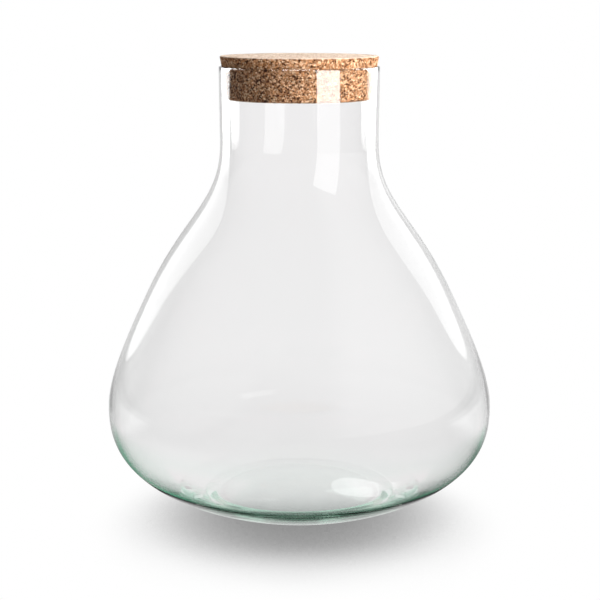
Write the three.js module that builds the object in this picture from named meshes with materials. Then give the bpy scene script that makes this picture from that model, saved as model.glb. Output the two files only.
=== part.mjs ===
// Bottle terrarium: a wide-necked bottle of clear blown glass, closed by a tapered cork bung.
// Millimetres, +Z up. The origin is the middle of the foot, on the surface that the bottle stands on.

import * as THREE from 'three';

// Outside of the bottle: the rings that its profile passes through
const FOOT_RADIUS = 54;
const FOOT_WIDTH = 5;
const BELLY_RADIUS = 125;
const BELLY_HEIGHT = 65.7;
const SIDE_RADIUS = 98;
const SIDE_HEIGHT = 142.6;
const NECK_RADIUS = 50.7;
const NECK_HEIGHT = 237.5;
const MOUTH_RADIUS = 51.2;
const RIM_HEIGHT = 286;

// Directions of the profile: the heel's rise from the ground and the side's lean from upright, in degrees
const HEEL_SLOPE = 16;
const SIDE_LEAN = 25.8;

// How far each curve keeps its direction at a ring, which sets how full it is there
const HEEL_REACH = 64;
const HEEL_FULLNESS = 23.4;
const BELLY_FULLNESS = 14.7;
const SIDE_REACH_DOWN = 49.5;
const SIDE_REACH_UP = 54.5;
const NECK_REACH = 37.3;

// Glass thickness, heavy in the base and thin in the neck, as a gather of glass blows out
const MOUTH_WALL = 1.5;
const NECK_WALL = 1.7;
const SIDE_WALL = 2.2;
const BELLY_WALL = 2.8;
const BASE_THICKNESS = 8.8;

// Base: the shallow hollow under it, the edge of the flat floor inside, and the bend where the wall turns up
const PUNT_RISE = 0.3;
const PUNT_SHOULDER = 22;
const FLOOR_RADIUS = 62;
const FLOOR_HEIGHT = 9;
const BEND_RADIUS = 79;
const BEND_HEIGHT = 12.4;
const BEND_SLOPE = 19;
const BEND_REACH = 36;
const BEND_FULLNESS = 22;

// Cork bung: one tapered piece that wedges in the mouth
const CORK_HEIGHT = 27.3;
const CORK_PROUD = 6.5;
const CORK_TAPER = 0.18;
const CORK_EDGE = 0.6;
const CORK_CLEARANCE = 0.3;

// Facets: sides round the axis, and steps along each stretch of a profile
const SIDES = 72;
const CURVE_STEPS = 8;
const BASE_STEPS = 5;
const LIP_STEPS = 5;

const INWARD = new THREE.Vector2(-1, 0);
const OUTWARD = new THREE.Vector2(1, 0);
const UPWARD = new THREE.Vector2(0, 1);

/** A point of a profile: its radius from the axis and its height. */
function ring(radius, height) {
  return new THREE.Vector2(radius, height);
}

/** The point that lies the given distance from a start, along a direction. */
function along(start, direction, distance) {
  return start.clone().addScaledVector(direction, distance);
}

/** Points of a smooth curve between two rings, from its start up to but not including its end. */
function curve(start, startHandle, endHandle, end, steps) {
  return new THREE.CubicBezierCurve(start, startHandle, endHandle, end).getPoints(steps).slice(0, steps);
}

/** Turns a profile round the axis into a closed solid of revolution, standing along +Z. */
function revolve(profile) {
  return new THREE.LatheGeometry(profile, SIDES).rotateX(Math.PI / 2);
}

/** The leaning direction of the side, upward, and the direction square to it, out of the glass. */
function sideDirections() {
  const lean = THREE.MathUtils.degToRad(SIDE_LEAN);
  return {
    up: new THREE.Vector2(-Math.sin(lean), Math.cos(lean)),
    out: new THREE.Vector2(Math.cos(lean), Math.sin(lean)),
  };
}

/** The direction that climbs outward from level by the given angle in degrees. */
function climbing(slope) {
  const rise = THREE.MathUtils.degToRad(slope);
  return new THREE.Vector2(Math.cos(rise), Math.sin(rise));
}

/** The underside: the hollow of the punt from the axis, then the flat ring that the bottle stands on. */
function underside() {
  const crown = ring(0, PUNT_RISE);
  const footInner = ring(FOOT_RADIUS - FOOT_WIDTH, 0);
  const crownHandle = along(crown, OUTWARD, PUNT_SHOULDER);
  const footHandle = along(footInner, INWARD, PUNT_SHOULDER);
  return [...curve(crown, crownHandle, footHandle, footInner, BASE_STEPS), footInner];
}

/** The outside wall, from the edge of the foot over the belly and shoulder to the top of the neck. */
function outsideWall() {
  const { up } = sideDirections();
  const foot = ring(FOOT_RADIUS, 0);
  const belly = ring(BELLY_RADIUS, BELLY_HEIGHT);
  const side = ring(SIDE_RADIUS, SIDE_HEIGHT);
  const neck = ring(NECK_RADIUS, NECK_HEIGHT);
  const heelHandle = along(foot, climbing(HEEL_SLOPE), HEEL_REACH);
  const bellyBelow = along(belly, UPWARD, -HEEL_FULLNESS);
  const bellyAbove = along(belly, UPWARD, BELLY_FULLNESS);
  const sideBelow = along(side, up, -SIDE_REACH_DOWN);
  const sideAbove = along(side, up, SIDE_REACH_UP);
  const neckBelow = along(neck, UPWARD, -NECK_REACH);
  return [
    ...curve(foot, heelHandle, bellyBelow, belly, CURVE_STEPS),
    ...curve(belly, bellyAbove, sideBelow, side, CURVE_STEPS),
    ...curve(side, sideAbove, neckBelow, neck, CURVE_STEPS),
    neck,
  ];
}

/** The middle of the rounded lip, half a wall in from the outside and half a wall below the rim. */
function lipCentre() {
  return ring(MOUTH_RADIUS - MOUTH_WALL / 2, RIM_HEIGHT - MOUTH_WALL / 2);
}

/** The fire-polished lip: a half round from the outside of the mouth over to its inside. */
function lip() {
  const centre = lipCentre();
  const arc = new THREE.EllipseCurve(centre.x, centre.y, MOUTH_WALL / 2, MOUTH_WALL / 2, 0, Math.PI);
  return arc.getPoints(LIP_STEPS);
}

/** The inside wall, from the neck down past the shoulder and belly to the bend above the heel. */
function insideWall() {
  const { up, out } = sideDirections();
  const neck = ring(NECK_RADIUS - NECK_WALL, NECK_HEIGHT);
  const side = along(ring(SIDE_RADIUS, SIDE_HEIGHT), out, -SIDE_WALL);
  const belly = ring(BELLY_RADIUS - BELLY_WALL, BELLY_HEIGHT);
  const bend = ring(BEND_RADIUS, BEND_HEIGHT);
  const neckBelow = along(neck, UPWARD, -NECK_REACH);
  const sideAbove = along(side, up, SIDE_REACH_UP);
  const sideBelow = along(side, up, -SIDE_REACH_DOWN);
  const bellyAbove = along(belly, UPWARD, BELLY_FULLNESS);
  const bellyBelow = along(belly, UPWARD, -BEND_FULLNESS);
  const bendHandle = along(bend, climbing(BEND_SLOPE), BEND_REACH);
  return [
    ...curve(neck, neckBelow, sideAbove, side, CURVE_STEPS),
    ...curve(side, sideBelow, bellyAbove, belly, CURVE_STEPS),
    ...curve(belly, bellyBelow, bendHandle, bend, CURVE_STEPS),
    bend,
  ];
}

/** The inside floor: the edge where its margin slopes down to, and the middle, a little higher over the hollow. */
function floor() {
  return [ring(FLOOR_RADIUS, FLOOR_HEIGHT), ring(0, PUNT_RISE + BASE_THICKNESS)];
}

/** The bottle: one blown wall, open only at its mouth. */
function glassBottle() {
  const profile = [...underside(), ...outsideWall(), ...lip(), ...insideWall(), ...floor()];
  const glass = new THREE.MeshStandardMaterial({
    color: 0xdfeae5,
    roughness: 0.02,
    metalness: 0,
    transparent: true,
    opacity: 0.35,
  });
  const mesh = new THREE.Mesh(revolve(profile), glass);
  mesh.name = 'glass_bottle';
  return mesh;
}

/** The cork's radius at the height of the rim, where its side wedges against the rounded lip. */
function corkRadiusAtRim() {
  const centre = lipCentre();
  const reach = (MOUTH_WALL / 2 + CORK_CLEARANCE) * Math.hypot(1, CORK_TAPER);
  return centre.x + CORK_TAPER * (RIM_HEIGHT - centre.y) - reach;
}

/** The bung: a cork frustum, wider at the top, with its two rims eased by the cut. */
function corkStopper() {
  const top = RIM_HEIGHT + CORK_PROUD;
  const bottom = top - CORK_HEIGHT;
  const radiusAt = (height) => corkRadiusAtRim() + CORK_TAPER * (height - RIM_HEIGHT);
  const profile = [
    ring(0, bottom),
    ring(radiusAt(bottom) - CORK_EDGE, bottom),
    ring(radiusAt(bottom + CORK_EDGE), bottom + CORK_EDGE),
    ring(radiusAt(top - CORK_EDGE), top - CORK_EDGE),
    ring(radiusAt(top) - CORK_EDGE, top),
    ring(0, top),
  ];
  const cork = new THREE.MeshStandardMaterial({ color: 0xb78d5e, roughness: 0.9, metalness: 0 });
  const mesh = new THREE.Mesh(revolve(profile), cork);
  mesh.name = 'cork_stopper';
  return mesh;
}

const bottleTerrarium = new THREE.Group();
bottleTerrarium.add(glassBottle(), corkStopper());

export default bottleTerrarium;
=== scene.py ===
"""Looks of a corked bottle terrarium: a blown-glass bottle, a pressed-cork bung and a plain white studio."""

import logging
import math
from dataclasses import dataclass
from enum import Enum
from functools import partial, reduce
from typing import Callable, Iterable, Sequence

import bpy
from mathutils import Euler, Matrix, Vector, noise


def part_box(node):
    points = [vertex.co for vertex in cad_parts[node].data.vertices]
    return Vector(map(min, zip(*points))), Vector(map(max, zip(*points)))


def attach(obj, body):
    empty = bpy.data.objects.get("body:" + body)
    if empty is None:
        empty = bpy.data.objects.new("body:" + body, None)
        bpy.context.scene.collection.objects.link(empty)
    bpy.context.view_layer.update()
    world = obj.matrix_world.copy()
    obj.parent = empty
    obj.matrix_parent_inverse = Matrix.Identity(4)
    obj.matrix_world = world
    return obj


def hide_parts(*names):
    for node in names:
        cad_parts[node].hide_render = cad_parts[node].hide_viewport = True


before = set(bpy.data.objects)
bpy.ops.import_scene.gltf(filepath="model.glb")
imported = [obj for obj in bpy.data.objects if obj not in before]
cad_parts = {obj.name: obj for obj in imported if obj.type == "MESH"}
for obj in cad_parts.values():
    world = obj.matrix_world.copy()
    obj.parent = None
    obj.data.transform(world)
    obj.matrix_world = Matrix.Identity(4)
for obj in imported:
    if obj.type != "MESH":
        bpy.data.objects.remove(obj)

LOG = logging.getLogger("bottle_terrarium")
MM = 0.001
PHOTO_SIDE_PX = 600
GRANULES = "granules"
WHITE = (1.0, 1.0, 1.0)
GAP_COLOUR = (0.035, 0.014, 0.007)
CHIPS_PER_METRE = 1000.0
SPECKS_PER_METRE = 1900.0

Ring = tuple[float, float]
Stretch = tuple[Ring, Ring, Ring, Ring, int]
Colour = tuple[float, float, float]
Socket = bpy.types.NodeSocket
Inputs = dict[str, object] | Iterable[tuple[int, object]]


class Body(Enum):
    """The bodies of the frame that pieces ride on."""

    BOTTLE = "bottle"
    STOPPER = "stopper"


class Slot(Enum):
    """The record's material slots."""

    GLASS = "glass"
    CORK = "cork"


@dataclass(frozen=True)
class Span:
    """The stretch over which something fades."""

    start: float
    end: float


class NodeBench:
    """A short way to lay out the nodes of one tree. Values are sockets to link or plain numbers to set.

    Args:
        tree: The node tree to fill. It is emptied first.
    """

    def __init__(self, tree: bpy.types.NodeTree) -> None:
        self.tree = tree
        tree.nodes.clear()

    def add(self, kind: str, inputs: Inputs = (), **settings: object) -> bpy.types.Node:
        """Adds a node.

        Args:
            kind: The node's type name.
            inputs: The name or number of each input that is given, with its value.
            settings: Values of the node's own properties.

        Returns:
            The new node.
        """
        node = self.tree.nodes.new(kind)
        for name, value in settings.items():
            setattr(node, name, value)
        for name, value in dict(inputs).items():
            if isinstance(value, Socket):
                self.tree.links.new(value, node.inputs[name])
            else:
                node.inputs[name].default_value = value
        return node

    def math(self, operation: str, *values: object, clamp: bool = False) -> Socket:
        """Works out a number, which a clamp keeps between 0 and 1."""
        return self.add("ShaderNodeMath", enumerate(values), operation=operation, use_clamp=clamp).outputs[0]

    def product(self, *factors: object) -> Socket:
        """Multiplies any number of values."""
        return reduce(partial(self.math, "MULTIPLY"), factors)

    def most(self, *values: object) -> Socket:
        """Finds the largest of any number of values."""
        return reduce(partial(self.math, "MAXIMUM"), values)

    def blend(self, share: object, under: object, over: object) -> Socket:
        """Mixes two numbers, by the share of the second."""
        return self.add("ShaderNodeMix", zip((0, 2, 3), (share, under, over))).outputs[0]

    def constant(self, vector: Sequence[float]) -> Socket:
        """Adds a fixed vector."""
        return self.add("ShaderNodeCombineXYZ", enumerate(vector)).outputs[0]

    def parts(self, vector: Socket) -> bpy.types.NodeOutputs:
        """Splits a vector into its X, Y and Z."""
        return self.add("ShaderNodeSeparateXYZ", enumerate((vector,))).outputs

    def fade(self, value: Socket, span: Span, at_start: float = 0.0, at_end: float = 1.0) -> Socket:
        """Goes smoothly from one level to another while a value crosses a span."""
        given = enumerate((value, span.start, span.end, at_start, at_end))
        return self.add("ShaderNodeMapRange", given, interpolation_type="SMOOTHSTEP").outputs["Result"]

    def fall(self, value: Socket, span: Span, level: float = 1.0) -> Socket:
        """Goes smoothly from a level to nothing while a value crosses a span."""
        return self.fade(value, span, level, 0.0)

    def colour_mix(self, share: object, under: object, over: object) -> Socket:
        """Mixes two colours, by the share of the second."""
        colours = [colour if isinstance(colour, Socket) else (*colour, 1.0) for colour in (under, over)]
        return self.add("ShaderNodeMix", zip((0, 6, 7), (share, *colours)), data_type="RGBA").outputs[2]


class Rays:
    """Masks that tell the kinds of ray apart that reach a surface, the surround or a lamp.

    Args:
        bench: The nodes to add to.
    """

    def __init__(self, bench: NodeBench) -> None:
        self.bench = bench
        self.path = bench.add("ShaderNodeLightPath").outputs

    def counted(self, depth: str, times: int) -> Socket:
        """Rays for which a depth of the path is at least so many."""
        return self.bench.math("GREATER_THAN", self.path[depth], times - 0.5)

    def matt(self) -> Socket:
        """Rays that have left a matt surface."""
        return self.counted("Diffuse Depth", 1)

    def bounced(self) -> Socket:
        """Rays that were mirrored."""
        return self.counted("Glossy Depth", 1)

    def often(self) -> Socket:
        """Rays that were mirrored more than once."""
        return self.counted("Glossy Depth", 2)

    def through(self) -> Socket:
        """Rays that have passed into glass."""
        return self.counted("Transmission Depth", 1)

    def inside(self) -> Socket:
        """Rays that have passed through a wall of the bottle and into glass again."""
        return self.counted("Transmission Depth", 3)

    def mirrored(self) -> Socket:
        """Rays that were mirrored and have left no matt surface."""
        return self.bench.math("SUBTRACT", self.bounced(), self.matt(), clamp=True)

    def looks(self) -> Socket:
        """Rays that come from the camera with no mirroring, also through glass."""
        seen = self.bench.most(self.path["Is Camera Ray"], self.path["Is Transmission Ray"])
        return self.bench.math("SUBTRACT", seen, self.bench.most(self.bounced(), self.matt()), clamp=True)

    def lighting(self) -> Socket:
        """Rays that only light: they have left a matt surface, or have met no glass."""
        met = self.bench.most(self.bounced(), self.through())
        return self.bench.most(self.matt(), self.bench.math("SUBTRACT", 1.0, met))


def new_material(name: str) -> tuple[bpy.types.Material, NodeBench]:
    """Makes an empty node material.

    Args:
        name: The material's name.

    Returns:
        The material and the bench of its nodes.
    """
    material = bpy.data.materials.new(name)
    material.use_nodes = True
    return material, NodeBench(material.node_tree)


def new_object(name: str, data: bpy.types.ID) -> bpy.types.Object:
    """Puts a mesh, a lamp or a camera into the scene.

    Args:
        name: The object's name.
        data: What it shows.

    Returns:
        The object.
    """
    made = bpy.data.objects.new(name, data)
    bpy.context.scene.collection.objects.link(made)
    return made


def curves(*stretches: Stretch) -> list[Ring]:
    """Samples smooth curves that follow each other, without the last point.

    Args:
        stretches: Each curve's start, the points that it sets off to and arrives from, its end and its steps.

    Returns:
        The points, from the first start on.
    """
    points = []
    for *corners, steps in stretches:
        for step in range(steps):
            t = step / steps
            u = 1.0 - t
            weights = (u ** 3, 3 * u * u * t, 3 * u * t * t, t ** 3)
            points.append(tuple(sum(w * c[axis] for w, c in zip(weights, corners)) for axis in (0, 1)))
    return points


def towards(start: Ring, goal: Ring, distance: float) -> Ring:
    """The point that lies a distance from a start, on the way to a goal."""
    share = distance / math.dist(start, goal)
    return start[0] + (goal[0] - start[0]) * share, start[1] + (goal[1] - start[1]) * share


def raised(point: Ring, rise: float) -> Ring:
    """The point that lies straight above another, or below it if the rise is negative."""
    return point[0], point[1] + rise


def climbing(start: Ring, slope: float, distance: float) -> Ring:
    """The point that lies a distance from a start, outward and up a slope in degrees."""
    angle = math.radians(slope)
    return start[0] + distance * math.cos(angle), start[1] + distance * math.sin(angle)


def turn(name: str, profile: Sequence[Ring], sides: int,
         shift: Callable[[Vector, int], Vector]) -> bpy.types.Mesh:
    """Turns a profile round the upright axis into a closed smooth mesh.

    Args:
        name: The mesh's name.
        profile: Radius and height of each ring in millimetres; the first and last lie on the axis.
        sides: How many sides a ring has.
        shift: Moves a finished point, given the point in metres and the number of its ring.

    Returns:
        The mesh, in metres.
    """
    points: list[Vector] = []
    rings: list[list[int]] = []
    for number, (radius, height) in enumerate(profile):
        on_axis = number in (0, len(profile) - 1)
        ring = []
        for side in range(1 if on_axis else sides):
            angle = math.tau * side / sides
            reach = 0.0 if on_axis else radius * MM
            point = Vector((reach * math.cos(angle), reach * math.sin(angle), height * MM))
            ring.append(len(points))
            points.append(shift(point, number))
        rings.append(ring)
    faces: list[tuple[int, ...]] = []
    for lower, upper in zip(rings, rings[1:]):
        for side in range(sides):
            below = [lower[number % len(lower)] for number in (side, side + 1)]
            above = [upper[number % len(upper)] for number in (side + 1, side)]
            faces.append(tuple(dict.fromkeys(below + above)))
    mesh = bpy.data.meshes.new(name)
    mesh.from_pydata(points, [], faces)
    mesh.update()
    mesh.shade_smooth()
    return mesh


@dataclass(frozen=True)
class GlassFinish:
    """Clear blown glass with the faint green of its iron, which shows only where light travels far in it."""

    ior: float = 1.52
    tint: Colour = (0.72, 0.97, 0.86)
    tint_density: float = 13.0
    ripple_size: float = 18.0
    ripple_depth: float = 0.00004

    def material(self) -> bpy.types.Material:
        """Builds the glass.

        Returns:
            The material.
        """
        material, bench = new_material("blown_glass")
        place = bench.add("ShaderNodeTexCoord").outputs["Object"]
        ripple = bench.add("ShaderNodeTexNoise", {"Vector": place, "Scale": self.ripple_size})
        bump = bench.add("ShaderNodeBump", {"Height": ripple.outputs["Fac"], "Distance": self.ripple_depth})
        glass = bench.add("ShaderNodeBsdfPrincipled", {
            "Base Color": (*WHITE, 1.0),
            "Roughness": 0.0,
            "IOR": self.ior,
            "Transmission Weight": 1.0,
            "Normal": bump.outputs["Normal"],
        })
        given = {"Color": (*self.tint, 1.0), "Density": self.tint_density}
        tint = bench.add("ShaderNodeVolumeAbsorption", given).outputs["Volume"]
        bench.add("ShaderNodeOutputMaterial", {"Surface": glass.outputs["BSDF"], "Volume": tint})
        return material


class CorkFace(Enum):
    """Which faces of the bung a cork finish is for."""

    SIDE = "cork_side"
    # The flat ends' finish is sanded and also painted pale, for the light that falls on the top.
    SANDED_PAINTED_PALE = "cork_sanded_painted_pale"


def granule_group() -> bpy.types.NodeTree:
    """The look of bonded cork granules, shared by every cork finish.

    Returns:
        A shader group that reads the bung's own granules and puts out their colour, roughness and specks.
    """
    name = "cork_granules"
    if name in bpy.data.node_groups:
        return bpy.data.node_groups[name]
    group = bpy.data.node_groups.new(name, "ShaderNodeTree")
    sockets = group.interface
    for label in ("Dark", "Middle", "Pale"):
        sockets.new_socket(label, in_out="INPUT", socket_type="NodeSocketColor")
    sockets.new_socket("Gap Depth", in_out="INPUT", socket_type="NodeSocketFloat")
    sockets.new_socket("Colour", in_out="OUTPUT", socket_type="NodeSocketColor")
    for label in ("Roughness", "Speck"):
        sockets.new_socket(label, in_out="OUTPUT", socket_type="NodeSocketFloat")
    bench = NodeBench(group)
    given = bench.add("NodeGroupInput").outputs
    seen = bench.add("ShaderNodeAttribute", attribute_name=GRANULES).outputs["Color"]
    granule = bench.add("ShaderNodeSeparateColor", {"Color": seen}).outputs
    place = bench.add("ShaderNodeTexCoord").outputs["Object"]
    speck = bench.add("ShaderNodeTexNoise", {"Vector": place, "Scale": SPECKS_PER_METRE}).outputs["Fac"]
    chips = {"Vector": place, "Scale": CHIPS_PER_METRE}
    chip = bench.add("ShaderNodeTexVoronoi", chips).outputs["Color"]
    seam = bench.add("ShaderNodeTexVoronoi", chips, feature="DISTANCE_TO_EDGE").outputs["Distance"]
    own = bench.add("ShaderNodeSeparateColor", {"Color": chip}).outputs
    granule_share = 0.15
    granule_gap_share = 0.65
    speck_share = 0.4
    dark_roughness = 0.95
    pale_roughness = 0.75
    dark_tones = Span(0.1, 0.5)
    pale_tones = Span(0.5, 0.9)
    all_tones = Span(0.0, 1.0)
    seam_width = Span(0.0, 0.09)
    tone = bench.blend(granule_share, own["Red"], granule["Red"])
    even = bench.math("SUBTRACT", tone, speck_share / 2)
    tone = bench.math("MULTIPLY_ADD", speck, speck_share, even, clamp=True)
    darker = bench.colour_mix(bench.fade(tone, dark_tones), given["Dark"], given["Middle"])
    grain = bench.colour_mix(bench.fade(tone, pale_tones), darker, given["Pale"])
    granule_gap = bench.product(granule["Green"], granule_gap_share)
    chip_gap = bench.fall(seam, seam_width)
    gap = bench.product(bench.most(granule_gap, chip_gap), given["Gap Depth"])
    bench.add("NodeGroupOutput", {
        "Colour": bench.colour_mix(gap, grain, GAP_COLOUR),
        "Roughness": bench.fade(tone, all_tones, dark_roughness, pale_roughness),
        "Speck": speck,
    })
    return group


@dataclass(frozen=True)
class CorkFinish:
    """Pressed cork: granules of many browns, bonded with dark gaps between them."""

    face: CorkFace
    dark: Colour
    middle: Colour
    pale: Colour
    gap_depth: float
    relief: float = 0.0002
    sheen: float = 0.05

    def material(self) -> bpy.types.Material:
        """Builds the cork.

        Returns:
            The material.
        """
        material, bench = new_material(self.face.value)
        granules = bench.add("ShaderNodeGroup", node_tree=granule_group())
        for label, colour in (("Dark", self.dark), ("Middle", self.middle), ("Pale", self.pale)):
            granules.inputs[label].default_value = (*colour, 1.0)
        granules.inputs["Gap Depth"].default_value = self.gap_depth
        bump = bench.add("ShaderNodeBump", {"Height": granules.outputs["Speck"], "Distance": self.relief})
        cork = bench.add("ShaderNodeBsdfPrincipled", {
            "Base Color": granules.outputs["Colour"],
            "Roughness": granules.outputs["Roughness"],
            "Normal": bump.outputs["Normal"],
            "Specular IOR Level": self.sheen,
        })
        bench.add("ShaderNodeOutputMaterial", {"Surface": cork.outputs["BSDF"]})
        return material


@dataclass
class GlassBottle:
    """The blown bottle. Sizes are in millimetres, and the belly and rim come from the frame."""

    belly_radius: float
    rim_height: float
    belly_height: float = 65.7
    foot_radius: float = 54.0
    foot_width: float = 5.0
    foot_round: float = 2.0
    foot_shares: tuple[float, ...] = (0.0, 0.25, 0.5)
    side_radius: float = 98.0
    side_height: float = 142.6
    side_lean: float = 25.8
    neck_radius: float = 50.7
    neck_height: float = 237.5
    mouth_radius: float = 51.2
    heel_slope: float = 16.0
    heel_reach: float = 64.0
    heel_fullness: float = 23.4
    belly_fullness: float = 14.7
    side_reach_down: float = 49.5
    side_reach_up: float = 54.5
    neck_reach: float = 37.3
    neck_straight: float = 10.0
    mouth_wall: float = 1.5
    neck_wall: float = 1.7
    side_wall: float = 2.2
    belly_wall: float = 2.8
    base_thickness: float = 8.8
    punt_rise: float = 0.3
    punt_shoulder: float = 22.0
    floor_radius: float = 62.0
    floor_height: float = 9.0
    bend_radius: float = 79.0
    bend_height: float = 12.4
    bend_slope: float = 19.0
    bend_reach: float = 36.0
    bend_fullness: float = 22.0
    inner_round: float = 1.6
    wave_depth: float = 0.12
    wave_length: float = 45.0
    sides: int = 288
    punt_steps: int = 36
    heel_steps: int = 44
    side_steps: int = 30
    shoulder_steps: int = 36
    neck_steps: int = 12
    lip_steps: int = 10
    bend_steps: int = 80
    floor_steps: int = 24
    margin_steps: int = 10
    foot_round_steps: int = 6
    inner_round_steps: int = 8

    def side_point(self, inset: float) -> tuple[Ring, Ring, Ring]:
        """The middle of the leaning side, with the handles below and above it.

        Args:
            inset: How far it lies inside the outer face.

        Returns:
            The point, its lower handle and its upper handle.
        """
        sine = math.sin(math.radians(self.side_lean))
        cosine = math.cos(math.radians(self.side_lean))
        radius = self.side_radius - inset * cosine
        height = self.side_height - inset * sine
        below = (radius + sine * self.side_reach_down, height - cosine * self.side_reach_down)
        above = (radius - sine * self.side_reach_up, height + cosine * self.side_reach_up)
        return (radius, height), below, above

    def underside(self) -> list[Ring]:
        """The hollow under the base, and the flat of the foot ring.

        Returns:
            The points from the axis to where the foot's edge is eased.
        """
        inner = self.foot_radius - self.foot_width
        crown = (0.0, self.punt_rise)
        crown_handle = (self.punt_shoulder, self.punt_rise)
        foot_handle = (inner - self.punt_shoulder, 0.0)
        foot = [(inner + self.foot_width * share, 0.0) for share in self.foot_shares]
        return curves((crown, crown_handle, foot_handle, foot[0], self.punt_steps)) + foot

    def outside(self) -> list[Ring]:
        """The outer face, from the foot over the belly and shoulder to the neck.

        Returns:
            The points, without the rim.
        """
        foot = (self.foot_radius, 0.0)
        eased_from = (self.foot_radius - self.foot_round, 0.0)
        heel = climbing(foot, self.heel_slope, self.foot_round)
        heel_handle = climbing(foot, self.heel_slope, self.heel_reach)
        belly = (self.belly_radius, self.belly_height)
        side, side_below, side_above = self.side_point(0.0)
        neck = (self.neck_radius, self.neck_height)
        rim_start = (self.mouth_radius, self.rim_height - self.mouth_wall / 2)
        straight = self.neck_straight
        return curves(
            (eased_from, foot, foot, heel, self.foot_round_steps),
            (heel, heel_handle, raised(belly, -self.heel_fullness), belly, self.heel_steps),
            (belly, raised(belly, self.belly_fullness), side_below, side, self.side_steps),
            (side, side_above, raised(neck, -self.neck_reach), neck, self.shoulder_steps),
            (neck, raised(neck, straight), raised(rim_start, -straight), rim_start, self.neck_steps),
        )

    def lip(self) -> list[Ring]:
        """The rounded lip, from the outside of the mouth to its inside.

        Returns:
            The points, without the last.
        """
        half = self.mouth_wall / 2
        middle = (self.mouth_radius - half, self.rim_height - half)
        angles = [math.pi * step / self.lip_steps for step in range(self.lip_steps)]
        return [(middle[0] + half * math.cos(a), middle[1] + half * math.sin(a)) for a in angles]

    def inside(self) -> list[Ring]:
        """The inner face, from the lip down to the bend above the heel and over the floor to its middle.

        Returns:
            The points, with the last on the axis.
        """
        lip_end = (self.mouth_radius - self.mouth_wall, self.rim_height - self.mouth_wall / 2)
        neck = (self.neck_radius - self.neck_wall, self.neck_height)
        side, side_below, side_above = self.side_point(self.side_wall)
        belly = (self.belly_radius - self.belly_wall, self.belly_height)
        bend = (self.bend_radius, self.bend_height)
        edge = (self.floor_radius, self.floor_height)
        crown = (0.0, self.punt_rise + self.base_thickness)
        bend_handle = climbing(bend, self.bend_slope, self.bend_reach)
        bend_start = towards(bend, bend_handle, self.inner_round)
        bend_end = towards(bend, edge, self.inner_round)
        edge_start = towards(edge, bend, self.inner_round)
        edge_end = towards(edge, crown, self.inner_round)
        straight = self.neck_straight
        return curves(
            (lip_end, raised(lip_end, -straight), raised(neck, straight), neck, self.neck_steps),
            (neck, raised(neck, -self.neck_reach), side_above, side, self.shoulder_steps),
            (side, side_below, raised(belly, self.belly_fullness), belly, self.side_steps),
            (belly, raised(belly, -self.bend_fullness), bend_handle, bend_start, self.bend_steps),
            (bend_start, bend, bend, bend_end, self.inner_round_steps),
            (bend_end, bend_end, edge_start, edge_start, self.margin_steps),
            (edge_start, edge, edge, edge_end, self.inner_round_steps),
            (edge_end, edge_end, crown, crown, self.floor_steps),
        ) + [crown]

    def wave(self, point: Vector) -> Vector:
        """Moves a point of the inner face a little, as blown glass is never quite even.

        Args:
            point: The point, in metres.

        Returns:
            The moved point.
        """
        place = point / (self.wave_length * MM)
        outward = Vector((point.x, point.y, 0.0))
        if outward.length > 0:
            outward.normalize()
        return point + outward * (noise.noise(place) * self.wave_depth * MM)

    def build(self) -> bpy.types.Object:
        """Makes the bottle's mesh.

        Returns:
            The bottle.
        """
        outer = self.underside() + self.outside() + self.lip()
        profile = outer + self.inside()
        even_rings = len(outer) + self.neck_steps
        mesh = turn("glass_bottle_blown", profile, self.sides,
                    lambda point, ring: self.wave(point) if ring >= even_rings else point)
        return new_object("glass_bottle_blown", mesh)

    def dress(self, bottle: bpy.types.Object, finish: GlassFinish) -> None:
        """Gives the bottle its glass and its place in the frame.

        Args:
            bottle: The bottle.
            finish: Its finish.
        """
        bottle.data.materials.append(finish.material())
        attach(bottle, Body.BOTTLE.value)
        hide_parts("glass_bottle")


@dataclass(frozen=True)
class Granule:
    """What a point of the bung shows of its granules.

    Tone is the granule's shade from 0 to 1, gap is 1 between granules, and sink is how deep the point lies.
    """

    tone: float
    gap: float
    sink: float


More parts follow.
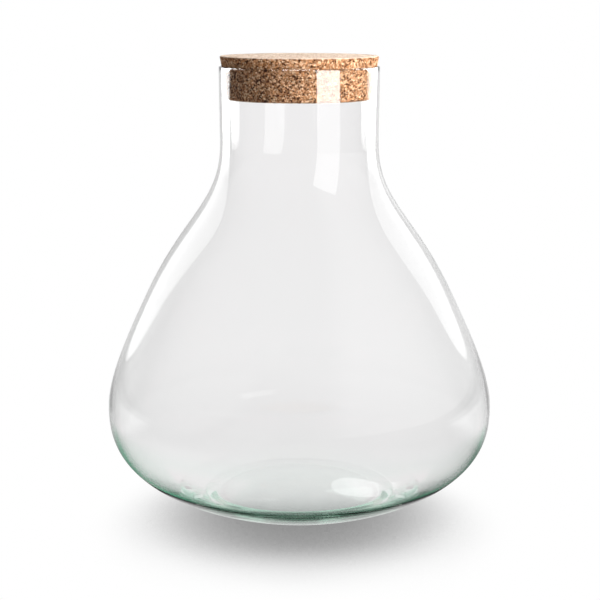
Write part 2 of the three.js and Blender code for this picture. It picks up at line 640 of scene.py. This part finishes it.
@dataclass
class CorkStopper:
    """The tapered bung of pressed granules. Sizes are in millimetres, and its box comes from the frame."""

    bottom: float
    top: float
    top_radius: float
    taper: float = 0.18
    edge: float = 0.6
    granule_size: float = 0.95
    granule_warp: float = 0.25
    warp_scale: float = 1.7
    warp_seed: int = 1
    gap_width: float = 0.36
    side_step: float = 0.45
    top_step: float = 0.75
    bottom_step: float = 4.0
    sides: int = 640
    gap_sink: float = 0.22
    hole_sink: float = 0.5
    hole_share: float = 0.13
    sanded_sink: float = 0.35
    side_from: float = 0.5
    side_until: float = 0.1
    flat_share: float = 0.45
    tone_seed: float = 31.7
    hole_seed: float = 17.3
    hole_offset: tuple[float, float, float] = (5.0, 9.0, 2.0)

    def radius_at(self, height: float) -> float:
        """The side's radius at a height."""
        return self.top_radius - self.taper * (self.top - height)

    def profile(self) -> list[Ring]:
        """The outline from the middle of the bottom to the middle of the top, in even steps.

        Returns:
            The points of the outline.
        """
        corners = [
            (0.0, self.bottom),
            (self.radius_at(self.bottom) - self.edge, self.bottom),
            (self.radius_at(self.bottom + self.edge), self.bottom + self.edge),
            (self.radius_at(self.top - self.edge), self.top - self.edge),
            (self.radius_at(self.top) - self.edge, self.top),
            (0.0, self.top),
        ]
        steps_wanted = (self.bottom_step, self.side_step, self.side_step, self.side_step, self.top_step)
        points = []
        for start, end, step in zip(corners, corners[1:], steps_wanted):
            steps = max(1, round(math.dist(start, end) / step))
            across, up = (end[axis] - start[axis] for axis in (0, 1))
            points += [(start[0] + across * s / steps, start[1] + up * s / steps) for s in range(steps)]
        return points + [corners[-1]]

    def granule(self, point: Vector) -> Granule:
        """Finds the granule at a point.

        Args:
            point: The point, in metres.

        Returns:
            What shows there.
        """
        place = point / (self.granule_size * MM)
        place += noise.noise_vector(place * self.warp_scale) * self.granule_warp
        distances, middles = noise.voronoi(place)
        tone = noise.cell(middles[0] * self.tone_seed) * 0.5 + 0.5
        chance = noise.cell(middles[0] * self.hole_seed + Vector(self.hole_offset)) * 0.5 + 0.5
        lost = chance < self.hole_share
        between = max(0.0, 1.0 - (distances[1] - distances[0]) / self.gap_width)
        gap = 1.0 if lost else between
        return Granule(tone, gap, self.hole_sink if lost else self.gap_sink * between)

    def build(self) -> bpy.types.Object:
        """Makes the bung's mesh, with every granule's gap sunk into it.

        Returns:
            The bung.
        """
        profile = self.profile()
        side_low = self.bottom + self.edge * self.side_from
        side_high = self.top - self.edge * self.side_until
        colours: list[float] = []

        def sink(point: Vector, ring: int) -> Vector:
            """Sinks a point as deep as its granule lies, and keeps the granule's look.

            Args:
                point: The point, in metres.
                ring: The number of its ring.

            Returns:
                The sunk point.
            """
            granule = self.granule(point)
            colours.extend((granule.tone, granule.gap, granule.sink, 1.0))
            height = profile[ring][1]
            on_side = side_low < height < side_high
            inward = Vector((-point.x, -point.y, 0.0)).normalized() if on_side else Vector()
            flat = 1.0 if height <= self.bottom else -1.0 if height >= self.top else 0.0
            depth = granule.sink * MM
            return point + inward * depth + Vector((0.0, 0.0, flat * depth * self.sanded_sink))

        noise.seed_set(self.warp_seed)
        mesh = turn("cork_stopper_pressed", profile, self.sides, sink)
        seen = mesh.attributes.new(GRANULES, "FLOAT_COLOR", "POINT")
        seen.data.foreach_set("color", colours)
        return new_object("cork_stopper_pressed", mesh)

    def dress(self, bung: bpy.types.Object, side: CorkFinish, sanded_painted_pale: CorkFinish) -> None:
        """Gives the bung its cork and its place in the frame.

        Args:
            bung: The bung.
            side: The finish of its side.
            sanded_painted_pale: The finish of its flat ends.
        """
        bung.data.materials.append(side.material())
        bung.data.materials.append(sanded_painted_pale.material())
        margin = self.edge * self.flat_share
        for face in bung.data.polygons:
            middle = face.center.z / MM
            face.material_index = 0 if self.bottom + margin <= middle <= self.top - margin else 1
        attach(bung, Body.STOPPER.value)
        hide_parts("cork_stopper")


class LampShape(Enum):
    """The outline of a soft lamp."""

    RECTANGLE = "RECTANGLE"
    ELLIPSE = "ELLIPSE"


@dataclass(frozen=True)
class Softbox:
    """A soft lamp that faces the bottle's axis, with a louvre that keeps its light off what stands low.

    Azimuth is counted from the camera towards the right, in degrees, and lengths are in metres. The gains
    are for the lamp's image in the neck, on the lip and before the cork; cork_light is for its light there.
    """

    name: str
    shape: LampShape
    azimuth: float
    distance: float
    aside: float
    centre: float
    width: float
    height: float
    radiance: float
    roll: float = 0.0
    tilt: float = 0.0
    lowest: float = 0.0
    softness: float = 0.012
    back_lowest: float = 0.22
    back_softness: float = 0.001
    neck_gain: float = 1.0
    lip_gain: float = 1.0
    cork_gain: float = 1.0
    cork_light: float = 1.0
    front_edge: Span = Span(-0.012, -0.004)
    neck_rise: Span = Span(0.215, 0.245)
    cork_rise: Span = Span(0.2651, 0.2659)
    cork_side: Span = Span(0.0425, 0.0435)
    lip_rise: Span = Span(0.2837, 0.2847)

    def lit_point(self, bench: NodeBench) -> bpy.types.NodeOutputs:
        """Finds the point that the lamp's light falls on.

        Args:
            bench: The lamp's nodes.

        Returns:
            The point's X, Y and Z.
        """
        spot = bench.add("ShaderNodeNewGeometry").outputs
        length = bench.add("ShaderNodeLightPath").outputs["Ray Length"]
        reach = bench.add("ShaderNodeCombineXYZ", enumerate((length, length, length))).outputs[0]
        given = enumerate((spot["Incoming"], reach, spot["Position"]))
        return bench.parts(bench.add("ShaderNodeVectorMath", given, operation="MULTIPLY_ADD").outputs[0])

    def shutter(self, bench: NodeBench) -> Socket:
        """How much of the lamp reaches a point: nothing below the louvre, nor at the back of the body.

        Args:
            bench: The lamp's nodes.

        Returns:
            The share's socket.
        """
        rays = Rays(bench)
        lit = self.lit_point(bench)
        louvre_edge = Span(self.lowest - self.softness, self.lowest + self.softness)
        back_edge = Span(self.back_lowest - self.back_softness, self.back_lowest + self.back_softness)
        clear = bench.most(bench.fall(lit["Y"], self.front_edge), bench.fade(lit["Z"], back_edge))
        at_cork = bench.fade(lit["Z"], self.cork_rise)
        over_cork = bench.product(at_cork, bench.fall(bench.math("ABSOLUTE", lit["X"]), self.cork_side))
        gain = bench.fade(lit["Z"], self.neck_rise, 1.0, self.neck_gain)
        gain = bench.blend(over_cork, gain, self.cork_gain)
        gain = bench.blend(bench.fade(lit["Z"], self.lip_rise), gain, self.lip_gain)
        lighting = rays.lighting()
        gain = bench.blend(lighting, gain, bench.blend(at_cork, 1.0, self.cork_light))
        gain = bench.blend(bench.most(lighting, rays.bounced()), 0.0, gain)
        return bench.product(gain, bench.fade(lit["Z"], louvre_edge), clear)

    def build(self) -> bpy.types.Object:
        """Makes the lamp.

        Returns:
            The lamp.
        """
        lamp = bpy.data.lights.new(self.name, "AREA")
        lamp.shape = self.shape.value
        lamp.size = self.width
        lamp.size_y = self.height
        area = self.width * self.height * (math.pi / 4 if self.shape is LampShape.ELLIPSE else 1.0)
        lamp.energy = self.radiance * math.pi * area
        lamp.use_nodes = True
        bench = NodeBench(lamp.node_tree)
        glow = bench.add("ShaderNodeEmission", {"Strength": self.shutter(bench)})
        bench.add("ShaderNodeOutputLight", {"Surface": glow.outputs["Emission"]})
        placed = new_object(self.name, lamp)
        angle = math.radians(self.azimuth)
        outward = Vector((math.sin(angle), -math.cos(angle), 0.0))
        along = Vector((math.cos(angle), math.sin(angle), 0.0))
        upward = Vector((0.0, 0.0, 1.0))
        facing = Matrix((along, upward, outward)).transposed()
        placed.location = outward * self.distance + along * self.aside + upward * self.centre
        rolled = Matrix.Rotation(math.radians(self.roll), 3, "Z")
        tilted = Matrix.Rotation(math.radians(-self.tilt), 3, "X")
        placed.rotation_euler = (facing @ tilted @ rolled).to_euler()
        placed.visible_camera = False
        return placed


@dataclass(frozen=True)
class FillBox(Softbox):
    """A soft lamp that lights matt surfaces only, so the glass shows no image of it."""

    def shutter(self, bench: NodeBench) -> Socket:
        """How much of the lamp a ray sees: nothing where it is looked at or mirrored."""
        return Rays(bench).lighting()


@dataclass(frozen=True)
class MirroredCard(Softbox):
    """A lit card that shows only where the floor inside the bottle mirrors it."""

    shown_from: Span = Span(0.005, 0.02)
    shown_until: Span = Span(0.055, 0.065)

    def shutter(self, bench: NodeBench) -> Socket:
        """How much of the card a ray sees: nothing unless it was mirrored once inside the bottle.

        Args:
            bench: The lamp's nodes.

        Returns:
            The share's socket.
        """
        rays = Rays(bench)
        once = bench.math("SUBTRACT", rays.mirrored(), rays.often(), clamp=True)
        right = self.lit_point(bench)["X"]
        shown = bench.product(bench.fade(right, self.shown_from), bench.fall(right, self.shown_until))
        return bench.product(once, rays.inside(), shown)


@dataclass(frozen=True)
class RoomLight:
    """The levels and tones that the surround and the floor share, with white as 1.

    The inner levels are what the inside of the bottle mirrors. The heel, the fillets where the wall turns
    up, and the glow at the sides are glints and glow in the thick base: the floor paints them into its
    colour, and the surround sets them in the room that the glass mirrors.
    """

    backdrop_left: float = 0.85
    backdrop_right: float = 1.0
    inner_left: float = 0.75
    inner_right: float = 0.45
    heel: float = 0.17
    fillet: float = 1.0
    side_glow: float = 0.45
    # Painted glint: the tint of the pale glints where the wall turns up.
    fillet_glint_tone: Colour = (1.0, 0.76, 0.8)
    through_tone: Colour = (0.979, 0.959, 0.968)

    def backdrop(self, bench: NodeBench, right: Socket, turn_right: Span) -> Socket:
        """The backdrop's level, which rises to the right."""
        return bench.fade(right, turn_right, self.backdrop_left, self.backdrop_right)

    def through_colour(self, bench: NodeBench, rays: Rays) -> Socket:
        """White, but a little dimmer and warmer where it is seen through the bottle."""
        return bench.colour_mix(rays.through(), WHITE, self.through_tone)


@dataclass
class Surround:
    """The white surround: where the glass mirrors it, it is a bright backdrop in a dim room.

    Spans are along the parts of a direction: X to the right, Y to the back and Z up.
    """

    light: RoomLight
    ambient: float = 0.29
    room: float = 0.03
    overhead: float = 30.0
    right_wall: float = 0.75
    heel_left: float = 1.0
    heel_right: float = 0.7
    fillet_middle: float = 0.3
    overhead_edge: Span = Span(0.92, 0.95)
    right_wall_edge: Span = Span(0.2, 0.6)
    backdrop_edge: Span = Span(0.3, 0.8)
    backdrop_turn: Span = Span(0.0, 0.3)
    inner_turn: Span = Span(-0.7, 0.7)
    fillet_rise: Span = Span(0.48, 0.6)
    fillet_inner: Span = Span(0.05, 0.2)
    fillet_side: Span = Span(0.42, 0.55)
    heel_left_from: Span = Span(0.17, 0.22)
    heel_left_until: Span = Span(0.34, 0.4)
    heel_right_from: Span = Span(-0.27, -0.22)
    heel_right_until: Span = Span(-0.14, -0.08)
    outer_rise: Span = Span(0.7, 0.8)
    outer_side: Span = Span(0.68, 0.78)

    def __post_init__(self) -> None:
        """Starts the world's nodes, with the parts of the direction that a ray goes in."""
        self.world = bpy.data.worlds.new("white_surround")
        self.world.use_nodes = True
        self.bench = NodeBench(self.world.node_tree)
        self.rays = Rays(self.bench)
        way = self.bench.parts(self.bench.add("ShaderNodeTexCoord").outputs["Generated"])
        self.right = way["X"]
        self.back = way["Y"]
        self.up = way["Z"]

    def mirrored_room(self) -> Socket:
        """What the glass mirrors of the room: its backdrop, its right wall and the light overhead.

        Returns:
            The level's socket.
        """
        bench = self.bench
        overhead = bench.fade(self.up, self.overhead_edge, 0.0, self.overhead)
        right_wall = bench.fade(self.right, self.right_wall_edge, 0.0, self.right_wall)
        backdrop = self.light.backdrop(bench, self.right, self.backdrop_turn)
        room = bench.blend(bench.fade(self.back, self.backdrop_edge), self.room, backdrop)
        return bench.most(room, bench.blend(self.rays.through(), overhead, right_wall))

    def gathered(self, room: Socket) -> tuple[Socket, Socket]:
        """What the thick base gathers, where rays are mirrored more than once.

        Args:
            room: The level of the mirrored room.

        Returns:
            The level's socket, and a mask of the fillets.
        """
        bench = self.bench
        aside = bench.math("ABSOLUTE", self.right)
        inner = bench.fade(aside, self.fillet_inner, self.fillet_middle)
        fillets = bench.product(bench.fade(self.up, self.fillet_rise), inner)
        fillets = bench.most(fillets, bench.fade(aside, self.fillet_side))
        left = bench.product(bench.fade(self.right, self.heel_left_from, 0.0, self.heel_left),
                             bench.fall(self.right, self.heel_left_until))
        right = bench.product(bench.fade(self.right, self.heel_right_from, 0.0, self.heel_right),
                              bench.fall(self.right, self.heel_right_until))
        heel = bench.blend(fillets, bench.most(left, right, self.light.heel), self.light.fillet)
        outer = bench.most(bench.fade(self.up, self.outer_rise), bench.fade(aside, self.outer_side))
        level = bench.blend(outer, heel, bench.most(room, self.light.side_glow))
        return level, bench.math("SUBTRACT", fillets, outer, clamp=True)

    def build(self) -> None:
        """Makes the world, which is plain white where it is looked at."""
        bench = self.bench
        mirrored = self.rays.mirrored()
        often = self.rays.often()
        room = self.mirrored_room()
        gathered, fillets = self.gathered(room)
        inner = bench.fade(self.right, self.inner_turn, self.light.inner_left, self.light.inner_right)
        inner = bench.product(inner, self.rays.inside(), mirrored)
        level = bench.most(bench.blend(mirrored, self.ambient, room), self.rays.looks(), inner)
        level = bench.blend(often, level, gathered)
        pale = bench.product(often, fillets)
        colour = bench.colour_mix(pale, self.light.through_colour(bench, self.rays), self.light.fillet_glint_tone)
        back = bench.add("ShaderNodeBackground", {"Color": colour, "Strength": level})
        bench.add("ShaderNodeOutputWorld", {"Surface": back.outputs["Background"]})
        bpy.context.scene.world = self.world


@dataclass
class Floor:
    """The pale floor, which glows with a painted shadow where the bottle stands close over it.

    Levels are painted: what the glass shows and mirrors of the floor, with white as 1. Spans are in metres
    from the bottle's axis, apart from openness, a share of the sky, and backward, a share of the way to the
    back.
    """

    light: RoomLight
    size: float = 12.0
    paint: Colour = (0.8, 0.8, 0.8)
    shadow_reach: float = 0.12
    shadow_samples: int = 16
    sky_lean: float = 50.0
    # Painted levels: reflections of the floor in the glass, a pale line under the foot, glow in the heel, and
    # a floor seen through the base that is darker towards the front.
    front: float = 0.06
    near: float = 0.2
    foot_light: float = 0.06
    foot_glint_line: float = 0.75
    foot_glint_flare: float = 0.17
    heel_left: float = 0.6
    heel_right: float = 0.3
    middle_glow: float = 0.16
    glow_left_over: float = 0.3
    under_base: float = 0.52
    through_base: float = 0.93
    # Painted glow: a tint for rays seen at the glass's edges. It stands in for the green of light that
    # travels far in the thick heel, on top of the glass's real tint.
    edge_glow_tone: Colour = (0.28, 1.0, 0.62)
    openness: Span = Span(-0.1, 0.69)
    backward: Span = Span(0.35, 0.9)
    behind: Span = Span(-0.05, 0.1)
    far_off: Span = Span(0.7, 1.1)
    clear_of_foot: Span = Span(0.14, 0.28)
    backdrop_turn: Span = Span(0.0, 0.2)
    foot_light_edge: Span = Span(0.11, 0.15)
    foot_glint_edge: Span = Span(0.07, 0.082)
    base_depth: Span = Span(-0.06, 0.02)
    base_edge: Span = Span(0.1, 0.5)
    heel_turn: Span = Span(-0.05, 0.05)
    heel_side: Span = Span(0.06, 0.085)
    heel_edge: Span = Span(0.2, 0.4)
    front_fillet_depth: Span = Span(-0.085, -0.07)
    front_fillet_side: Span = Span(0.04, 0.06)
    front_fillet_edge: Span = Span(0.15, 0.2)
    back_fillet_side: Span = Span(0.025, 0.04)
    back_fillet_from: Span = Span(-0.03, -0.01)
    back_fillet_full: Span = Span(0.02, 0.05)
    back_fillet_edge: Span = Span(0.11, 0.16)
    glow_side: Span = Span(0.03, 0.09)
    glow_edge: Span = Span(0.1, 0.14)
    tone_edge: Span = Span(0.15, 0.28)

    def __post_init__(self) -> None:
        """Starts the floor's nodes, with the place where a ray lands."""
        self.material, self.bench = new_material("pale_floor")
        self.rays = Rays(self.bench)
        spot = self.bench.add("ShaderNodeNewGeometry").outputs["Position"]
        reach = self.bench.add("ShaderNodeVectorMath", enumerate((spot,)), operation="LENGTH")
        parts = self.bench.parts(spot)
        self.right = parts["X"]
        self.back = parts["Y"]
        self.aside = self.bench.math("ABSOLUTE", self.right)
        self.away = reach.outputs["Value"]

    def shade(self) -> Socket:
        """The painted shadow: how bright the floor is beside the bottle, by how much of the sky behind it is
        open.

        Returns:
            The level's socket.
        """
        lean = math.radians(self.sky_lean)
        sky = self.bench.constant((0.0, math.sin(lean), math.cos(lean)))
        given = {"Distance": self.shadow_reach, "Normal": sky}
        # Painted shadow: ambient occlusion, not a lamp, darkens the floor's glow near the bottle.
        near = self.bench.add("ShaderNodeAmbientOcclusion", given, samples=self.shadow_samples)
        return self.bench.fade(near.outputs["AO"], self.openness)

    def mirrored(self, shade: Socket) -> Socket:
        """The painted reflection of the floor in the glass: dark in front, as bright as the backdrop behind,
        and lit a little near the foot.

        Args:
            shade: How bright the floor is.

        Returns:
            The level's socket.
        """
        bench = self.bench
        backward = bench.fade(bench.math("DIVIDE", self.back, self.away), self.backward)
        behind = bench.fade(self.back, self.behind)
        behind = bench.blend(bench.fade(self.away, self.far_off), behind, backward)
        backdrop = self.light.backdrop(bench, self.right, self.backdrop_turn)
        far = bench.blend(bench.fade(self.away, self.clear_of_foot), self.near, backdrop)
        level = bench.product(shade, bench.blend(behind, self.front, far))
        return bench.most(level, bench.fall(self.away, self.foot_light_edge, self.foot_light))

    def fillets(self) -> tuple[Socket, Socket]:
        """Masks of the painted glints that show as pale edges where the wall turns up.

        Returns:
            The mask at the front, for rays mirrored once, and the one at the back, for the others.
        """
        bench = self.bench
        front = bench.product(bench.fall(self.back, self.front_fillet_depth),
                              bench.fall(self.away, self.front_fillet_edge),
                              bench.fade(self.aside, self.front_fillet_side))
        back = bench.product(bench.fade(self.aside, self.back_fillet_side),
                             bench.fade(self.back, self.back_fillet_from))
        back = bench.most(back, bench.fade(self.back, self.back_fillet_full))
        return front, bench.product(back, bench.fall(self.away, self.back_fillet_edge))

    def heel(self, mirrored: Socket) -> Socket:
        """The painted reflection and glow that show in the heel, where rays are mirrored once.

        Args:
            mirrored: What the glass mirrors of the floor.

        Returns:
            The level's socket.
        """
        bench = self.bench
        end = bench.fade(self.right, self.heel_turn, self.heel_left, self.heel_right)
        level = bench.blend(bench.fade(self.aside, self.heel_side), self.light.heel, end)
        return bench.most(mirrored, bench.product(level, bench.fall(self.away, self.heel_edge)))

    def glow(self) -> Socket:
        """The painted glow that shows in the heel, where rays are mirrored more often.

        Returns:
            The level's socket.
        """
        left_over = self.bench.fade(self.aside, self.glow_edge, 1.0, self.glow_left_over)
        level = self.bench.fade(self.aside, self.glow_side, self.middle_glow, self.light.side_glow)
        return self.bench.product(level, left_over)

    def shown(self) -> Socket:
        """What the floor shows to a look: its painted shadow, and painted levels where glass shows or mirrors
        it.

        Returns:
            The shader's socket.
        """
        bench = self.bench
        fillet = self.light.fillet
        mirrored = self.rays.mirrored()
        often = self.rays.often()
        through = self.rays.through()
        inside = self.rays.inside()
        shade = self.shade()
        floor = self.mirrored(shade)
        front, back = self.fillets()
        base = bench.fade(self.back, self.base_depth, self.under_base, self.through_base)
        straight = bench.blend(bench.fade(self.away, self.base_edge), base, 1.0)
        inner = (self.light.inner_left + self.light.inner_right) / 2
        once = bench.blend(inside, bench.blend(front, self.heel(floor), fillet), inner)
        more = bench.blend(back, self.glow(), fillet)
        in_glass = bench.blend(often, bench.blend(mirrored, straight, once), more)
        # Painted highlight: a pale line under the foot, in what the outside of the glass mirrors.
        rim = bench.math("SUBTRACT", self.away, bench.product(self.aside, self.foot_glint_flare))
        on_glass = bench.most(floor, bench.fall(rim, self.foot_glint_edge, self.foot_glint_line))
        level = bench.blend(through, bench.blend(mirrored, shade, on_glass), in_glass)
        outside = bench.math("SUBTRACT", 1.0, inside)
        # Painted glow and glints: the green at the glass's edges and the pale glints at the fillets are
        # painted into the floor's colour.
        edge = bench.product(through, mirrored, outside, bench.fall(self.away, self.tone_edge))
        pale = bench.product(edge, bench.blend(often, front, back))
        colour = bench.colour_mix(edge, self.light.through_colour(bench, self.rays), self.edge_glow_tone)
        colour = bench.colour_mix(pale, colour, self.light.fillet_glint_tone)
        return bench.add("ShaderNodeEmission", {"Color": colour, "Strength": level}).outputs["Emission"]

    def build(self) -> None:
        """Lays the floor, which is plain matt paint where it is only lit."""
        half = self.size / 2
        corners = [(half * x, half * y, 0.0) for x, y in ((-1, -1), (1, -1), (1, 1), (-1, 1))]
        mesh = bpy.data.meshes.new("floor")
        mesh.from_pydata(corners, [], [(0, 1, 2, 3)])
        mesh.materials.append(self.material)
        lit = self.bench.add("ShaderNodeBsdfDiffuse", {"Color": (*self.paint, 1.0)}).outputs["BSDF"]
        # Looks and mirrors see the floor glow with its painted shadow and painted levels. Only lighting rays
        # see the matt paint.
        seen = self.bench.most(self.rays.looks(), self.rays.mirrored())
        either = self.bench.add("ShaderNodeMixShader", enumerate((seen, lit, self.shown())))
        self.bench.add("ShaderNodeOutputMaterial", {"Surface": either.outputs["Shader"]})
        laid = new_object("floor", mesh)


@dataclass
class Studio:
    """The camera, the pale floor, the white surround and the soft lamps."""

    camera_distance: float = 1.025
    camera_height: float = 0.3304
    camera_aside: float = 0.0004
    camera_pitch: float = 10.8
    focal_px: float = 1600.0
    sensor_mm: float = 36.0
    max_bounces: int = 24
    glass_bounces: int = 16
    light: RoomLight = RoomLight()

    def camera(self) -> None:
        """Sets the camera where the photograph was taken from."""
        data = bpy.data.cameras.new("camera")
        data.sensor_width = self.sensor_mm
        data.lens = self.focal_px * self.sensor_mm / PHOTO_SIDE_PX
        placed = new_object("camera", data)
        placed.location = (self.camera_aside, -self.camera_distance, self.camera_height)
        placed.rotation_euler = Euler((math.radians(90.0 - self.camera_pitch), 0.0, 0.0))
        bpy.context.scene.camera = placed

    def lamps(self) -> Iterable[Softbox]:
        """The lamps: a key at the front right, a strip at each side behind the bottle, a card and a fill.

        Returns:
            The lamps.
        """
        key = Softbox(
            "key_softbox", LampShape.RECTANGLE, azimuth=38.0, distance=0.45, aside=0.017, centre=0.245,
            width=0.265, height=0.485, radiance=1.3, roll=12.0, lowest=0.17, softness=0.002,
            back_lowest=0.213, lip_gain=6.0, cork_gain=6.0, cork_light=6.0)
        strip = partial(Softbox, shape=LampShape.ELLIPSE, distance=0.45, radiance=0.8, lowest=0.095,
                        neck_gain=4.0, lip_gain=20.0, cork_gain=0.1)
        right = strip("right_strip", azimuth=131.0, aside=-0.05, centre=0.466,
                      width=0.32, height=0.688, roll=-1.0)
        left = strip("left_strip", azimuth=-132.0, aside=0.082, centre=0.441,
                     width=0.256, height=0.722, roll=-15.0)
        card = MirroredCard(
            "base_card", LampShape.ELLIPSE, azimuth=167.0, distance=0.205, aside=-0.003, centre=0.072,
            width=0.047, height=0.014, radiance=0.7)
        fill = FillBox(
            "cork_fill", LampShape.RECTANGLE, azimuth=62.0, distance=0.8, aside=0.0, centre=0.82,
            width=0.6, height=0.6, radiance=10.8, tilt=34.0)
        return key, right, card, fill, left

    def build(self) -> None:
        """Builds the whole studio."""
        scene = bpy.context.scene
        scene.view_settings.view_transform = "Standard"
        scene.cycles.max_bounces = self.max_bounces
        scene.cycles.glossy_bounces = self.glass_bounces
        scene.cycles.transmission_bounces = self.glass_bounces
        scene.cycles.blur_glossy = 0.0
        self.camera()
        Surround(self.light).build()
        Floor(self.light).build()
        for lamp in self.lamps():
            lamp.build()


def main() -> None:
    """Builds the studio, the bottle and the bung, and reports each piece."""
    logging.basicConfig(level=logging.INFO, format="%(name)s: %(message)s")
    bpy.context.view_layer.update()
    Studio().build()
    glass_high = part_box("glass_bottle")[1] / MM
    cork_low, cork_high = (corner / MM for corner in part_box("cork_stopper"))
    bottle_maker = GlassBottle(belly_radius=glass_high.x, rim_height=glass_high.z)
    bottle = bottle_maker.build()
    bottle_maker.dress(bottle, GlassFinish())
    LOG.info("%s: %d faces", bottle.name, len(bottle.data.polygons))
    bung_maker = CorkStopper(bottom=cork_low.z, top=cork_high.z, top_radius=cork_high.x)
    bung = bung_maker.build()
    side = CorkFinish(CorkFace.SIDE, dark=(0.06, 0.019, 0.008), middle=(0.64, 0.305, 0.14),
                      pale=(0.98, 0.66, 0.42), gap_depth=0.95)
    # The sanded ends are paler partly because sanded cork is, and partly by painted light: their pale colours
    # stand in for the light from above and behind on the top.
    sanded_painted_pale = CorkFinish(CorkFace.SANDED_PAINTED_PALE, dark=(0.5, 0.34, 0.22), middle=(0.84, 0.66, 0.53),
                        pale=(0.95, 0.82, 0.71), gap_depth=0.3, relief=0.0001)
    bung_maker.dress(bung, side, sanded_painted_pale)
    LOG.info("%s: %d faces", bung.name, len(bung.data.polygons))


if __name__ == "__main__":
    main()
